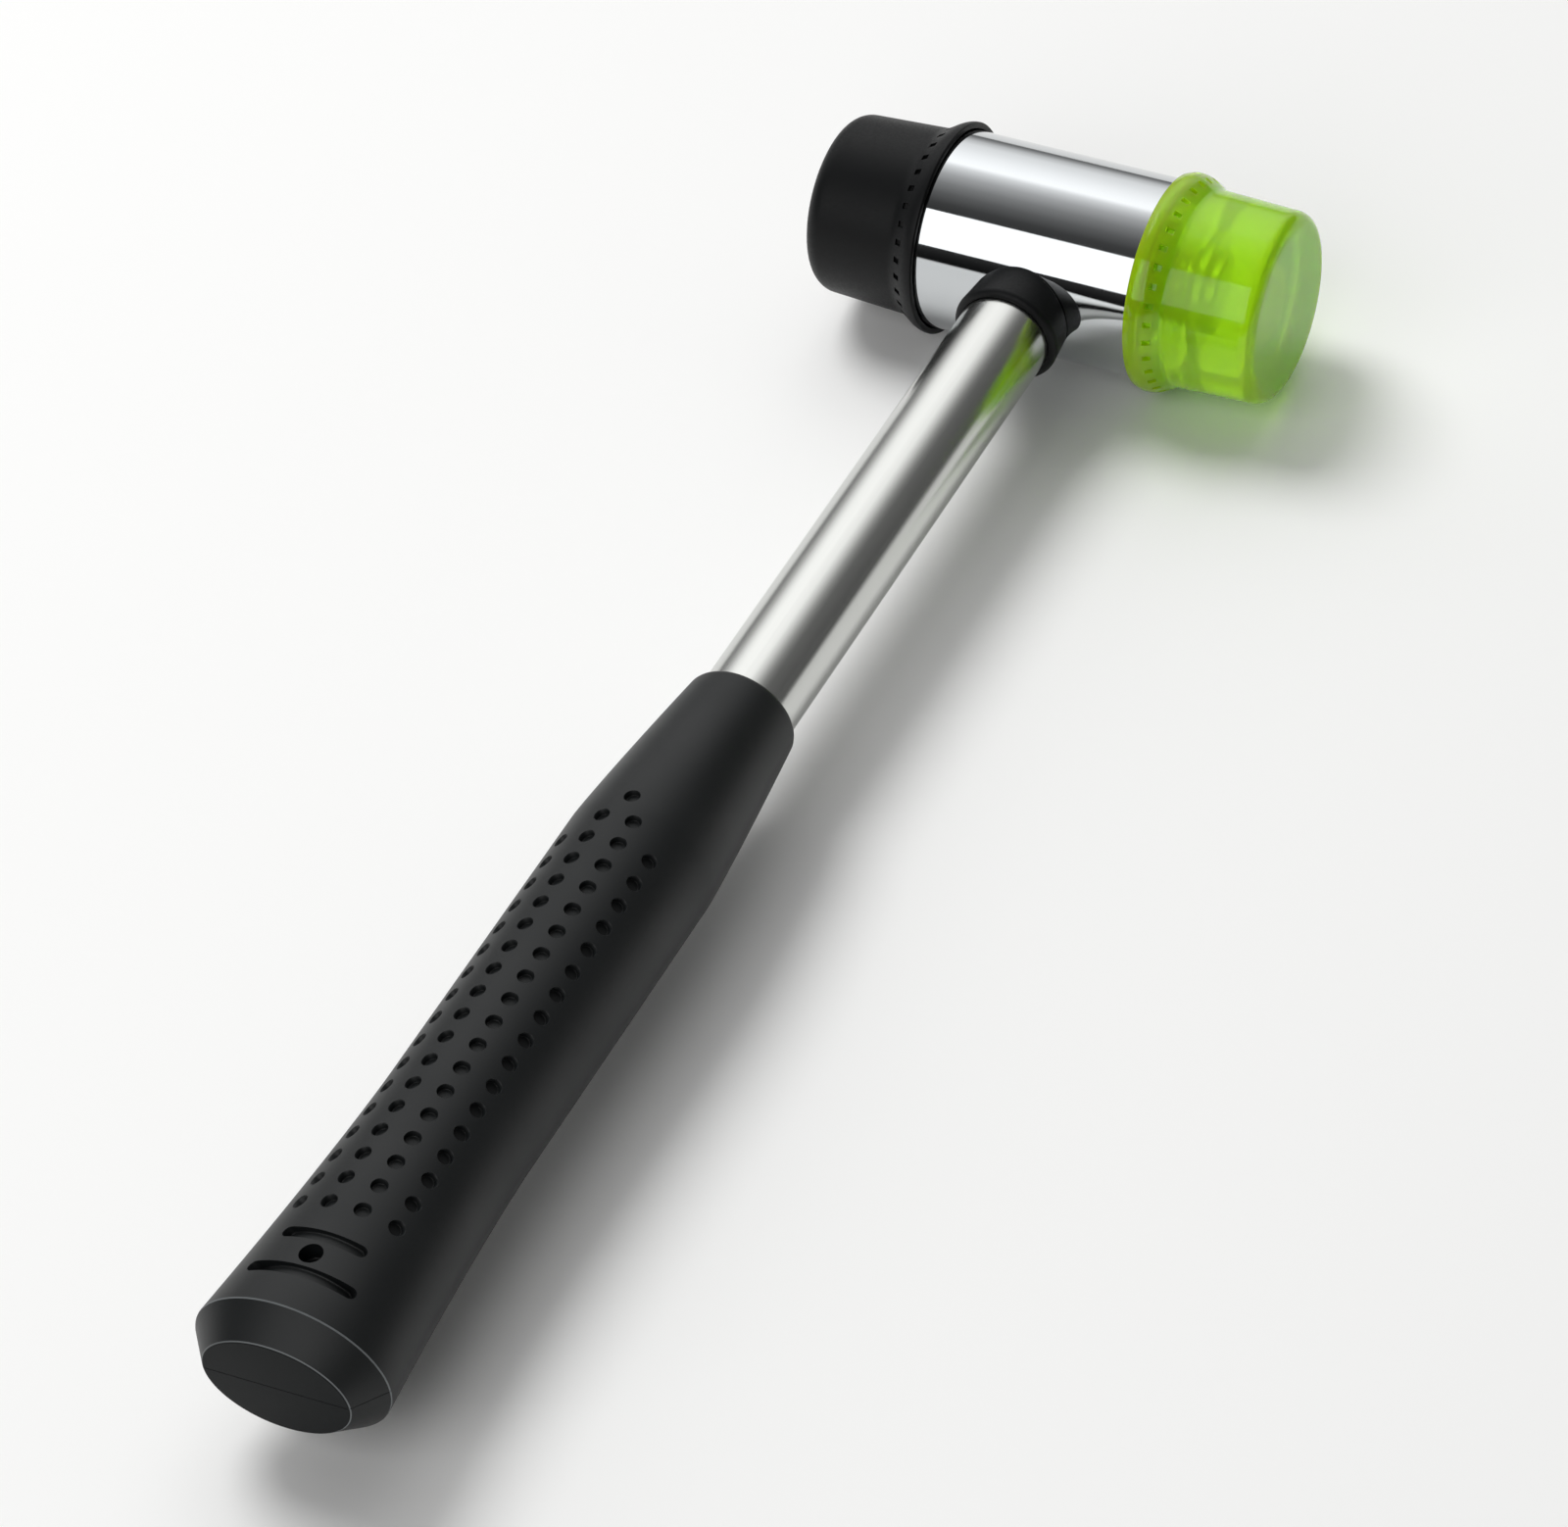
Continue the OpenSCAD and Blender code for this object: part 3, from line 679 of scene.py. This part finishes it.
def tip_rings(side, skirt, face_r, face_edge):
    """Rings of a tip: its inside up to the rim, the skirt's outline and the rounded striking face."""
    inside = eased([(0, seat_gap, 0), (skirt_r - skirt_edge, seat_gap, 0), (skirt_r, -skirt_edge, 0),
                    (skirt_r, -skirt_lap, rim_edge), (skirt[0][0], -skirt_lap, rim_edge), (*skirt[0], 0)])
    face = eased([(*skirt[-1], 0), (face_r, face_at, face_edge), (0, face_at, 0)], steps=face_steps)
    body = divided([Vector(point) for point in skirt[1:-1]] + face, tip_row)
    return turned(inside + body, at_end(side), segments=tip_turns)


def notch_seats(side, radius, height):
    """Places of the notches round a tip."""
    ring = turned([(radius, height)], at_end(side), segments=notch_count)[0]
    centre = at_end(side) @ Vector((0, 0, height))
    return [(point, (point - centre).normalized()) for point in ring]


def notch_cutter():
    """A unit block, sunk by one unit, that a notch is cut with."""
    corner_r = sqrt(0.5)
    block = [(0, -1), (corner_r, -1), (corner_r, 1), (0, 1)]
    return shaped("notch", skin(bmesh.new(), turned(block, Matrix.Rotation(pi / 4, 4, "Z"), segments=4)))


def fall_at(height):
    """Radius of the bead past its crest: a quarter wave down to the body."""
    share = (height + skirt_lap - bead_crest) / fall_len
    return plastic_root_r + (bead_r - plastic_root_r) * cos(pi / 2 * share)


rise = [(plastic_rim_r + (bead_r - plastic_rim_r) * sin(pi / 2 * k / wave_steps),
         -skirt_lap + rim_edge + (bead_crest - rim_edge) * k / wave_steps) for k in range(wave_steps + 1)]
fall_heights = [bead_crest + fall_len * k / wave_steps - skirt_lap for k in range(1, wave_steps + 1)]
fall = [(fall_at(height), height) for height in fall_heights]
plastic_tip = shaped("plastic_tip_cap", skin(
    bmesh.new(), tip_rings(1, rise + fall, plastic_face_r, plastic_face_edge)))
seats = notch_seats(1, fall_at(plastic_notch_at), plastic_notch_at)
pocketed(plastic_tip, seats, notch_cutter(), notch_size, green)
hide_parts("plastic_tip")
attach(plastic_tip, "plastic_tip")


# Rubber tip: the soft striking face, moulded round its stud in black rubber.
# Its skirt flares over the barrel's end from a waist, with the same ring of notches.

rubber_low, rubber_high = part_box("rubber_tip")
flare_r = (rubber_high.z - rubber_low.z) / 2
flare_lip, waist_at = 0.3 * MM, 5 * MM
waist_r = barrel_r - 0.8 * MM
rubber_face_r, rubber_face_edge = barrel_r - 1.55 * MM, 3 * MM
rubber_notch_at = 0.9 * MM


def flare_at(height):
    """Radius of the flared skirt at a distance from its rim: half a wave down to the waist."""
    share = max(0, (height - flare_lip) / (waist_at - flare_lip))
    return waist_r + (flare_r - waist_r) * (1 + cos(pi * share)) / 2


flare_heights = [flare_lip + (waist_at - flare_lip) * k / wave_steps for k in range(wave_steps + 1)]
flare = [(flare_r, rim_edge - skirt_lap)]
flare += [(flare_at(height), height - skirt_lap) for height in flare_heights]
rubber_tip = shaped("rubber_tip_cap", skin(
    bmesh.new(), tip_rings(-1, flare, rubber_face_r, rubber_face_edge)))
seats = notch_seats(-1, flare_at(rubber_notch_at + skirt_lap), rubber_notch_at)
pocketed(rubber_tip, seats, notch_cutter(), notch_size, rubber)
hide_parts("rubber_tip")
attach(rubber_tip, "rubber_tip")


# Bench and studio: a plain bench of matt white board, in a studio whose light falls off round its walls.
# One broad lamp hangs at the left, a little behind the head, and gives the shadows.
# A wide softbox stands in front, for the chrome to mirror.

bench_half = 30
lamp_at, lamp_size, lamp_watts = Vector((-0.8, 0.4, 1.35)), 0.8, 14
box_at, box_size, box_watts = Vector((-0.25, -1.2, 1.2)), (1.6, 1.63), 15

bench_mesh = bpy.data.meshes.new("bench")
bench_corners = [(x * bench_half, y * bench_half, 0) for x, y in ((-1, -1), (1, -1), (1, 1), (-1, 1))]
bench_mesh.from_pydata(bench_corners, [], [(0, 1, 2, 3)])
bench = bpy.data.objects.new("bench", bench_mesh)
bpy.context.scene.collection.objects.link(bench)
# Matt board: white without gloss, so that it shows nothing but the shadows.
matt, tree, shader = blank("matt white board")
shader.inputs["Base Color"].default_value = paint("#f7f7f6")
shader.inputs["Roughness"].default_value = 0.9
shader.inputs["Specular IOR Level"].default_value = 0.1
bench_mesh.materials.append(matt)

world = bpy.data.worlds.new("studio")
world.use_nodes = True
bpy.context.scene.world = world
tree = world.node_tree
place = add(tree, "ShaderNodeTexCoord")
way = add(tree, "ShaderNodeSeparateXYZ", {"Vector": place.outputs["Generated"]})


def wall(flat, stops):
    """Brightness round the studio, by the angle from a flat direction up over the top, in degrees."""
    angle = add(tree, "ShaderNodeMath", {0: way.outputs["Z"], 1: way.outputs[flat]}, operation="ARCTAN2")
    share = add(tree, "ShaderNodeMath", {
        0: angle.outputs["Value"], 1: pi}, operation="DIVIDE", use_clamp=True)
    ramp = add(tree, "ShaderNodeValToRGB", {"Fac": share.outputs["Value"]})
    bands = ramp.color_ramp.elements
    while len(bands) < len(stops):
        bands.new(0)
    for band, (degrees, light) in zip(bands, stops):
        band.position = degrees / 180
        band.color = (light, light, light, 1)
    return ramp.outputs["Color"]


back_to_front = wall("Y", [
    (0, 0.68), (6, 0.77), (18, 0.87), (30, 1.06), (42, 1.27), (54, 1.45), (60, 1.5), (66, 1.0), (72, 0.74),
    (78, 0.53), (90, 0.29), (102, 0.15), (114, 0.066), (121, 0.05), (180, 0.03)])
right_to_left = wall("X", [
    (0, 0.13), (48, 0.13), (57, 0.18), (66, 0.3), (74, 0.5), (82, 0.73), (92, 1.0), (114, 1.15), (134, 1.2),
    (147, 0.95), (158, 0.6), (170, 0.35), (180, 0.28)])
both = add(tree, "ShaderNodeMix", {
    "Factor": 1, "A": back_to_front, "B": right_to_left}, data_type="RGBA", blend_type="MULTIPLY")
tree.links.new(both.outputs["Result"], tree.nodes["Background"].inputs["Color"])


def lit(name, shape, place, aim, watts):
    """Adds an area lamp that faces the aim and stays out of the picture."""
    data = bpy.data.lights.new(name, "AREA")
    data.shape = shape
    data.energy = watts
    lamp = bpy.data.objects.new(name, data)
    lamp.location = place
    lamp.rotation_euler = (aim - place).to_track_quat("-Z", "Y").to_euler()
    lamp.visible_camera = False
    bpy.context.scene.collection.objects.link(lamp)
    return lamp


side_lamp = lit("side lamp", "DISK", lamp_at, head / 2, lamp_watts)
side_lamp.data.size = lamp_size
side_lamp.visible_glossy = False
softbox = lit("softbox", "RECTANGLE", box_at, box_at + Vector((0, 1, 0)), box_watts)
softbox.data.size, softbox.data.size_y = box_size


# Camera: 0.9 m from the head, high in front of the butt and a little to the right.
# It leans slightly to one side, and its long lens is worked out from the width of the view.

view_azimuth, view_elevation, view_roll = radians(30.41), radians(43.68), radians(-6.12)
view_distance, view_width = 900 * MM, 231.75 * MM
view_right, view_up = -40.93 * MM, -75.25 * MM
sensor = 36

level = Vector((cos(view_azimuth), sin(view_azimuth), 0))
towards = Vector((sin(view_azimuth), -cos(view_azimuth), 0))
back = towards * cos(view_elevation) + Vector((0, 0, sin(view_elevation)))
upright = back.cross(level)
right = level * cos(view_roll) + upright * sin(view_roll)
up = upright * cos(view_roll) - level * sin(view_roll)
camera_data = bpy.data.cameras.new("camera")
camera_data.sensor_width = sensor
camera_data.lens = sensor * view_distance / view_width
camera = bpy.data.objects.new("camera", camera_data)
aim = head + right * view_right + up * view_up
stand = Matrix((right, up, back)).transposed().to_4x4()
camera.matrix_world = Matrix.Translation(aim + back * view_distance) @ stand
bpy.context.scene.collection.objects.link(camera)
bpy.context.scene.camera = camera
bpy.context.scene.view_settings.view_transform = "Standard"
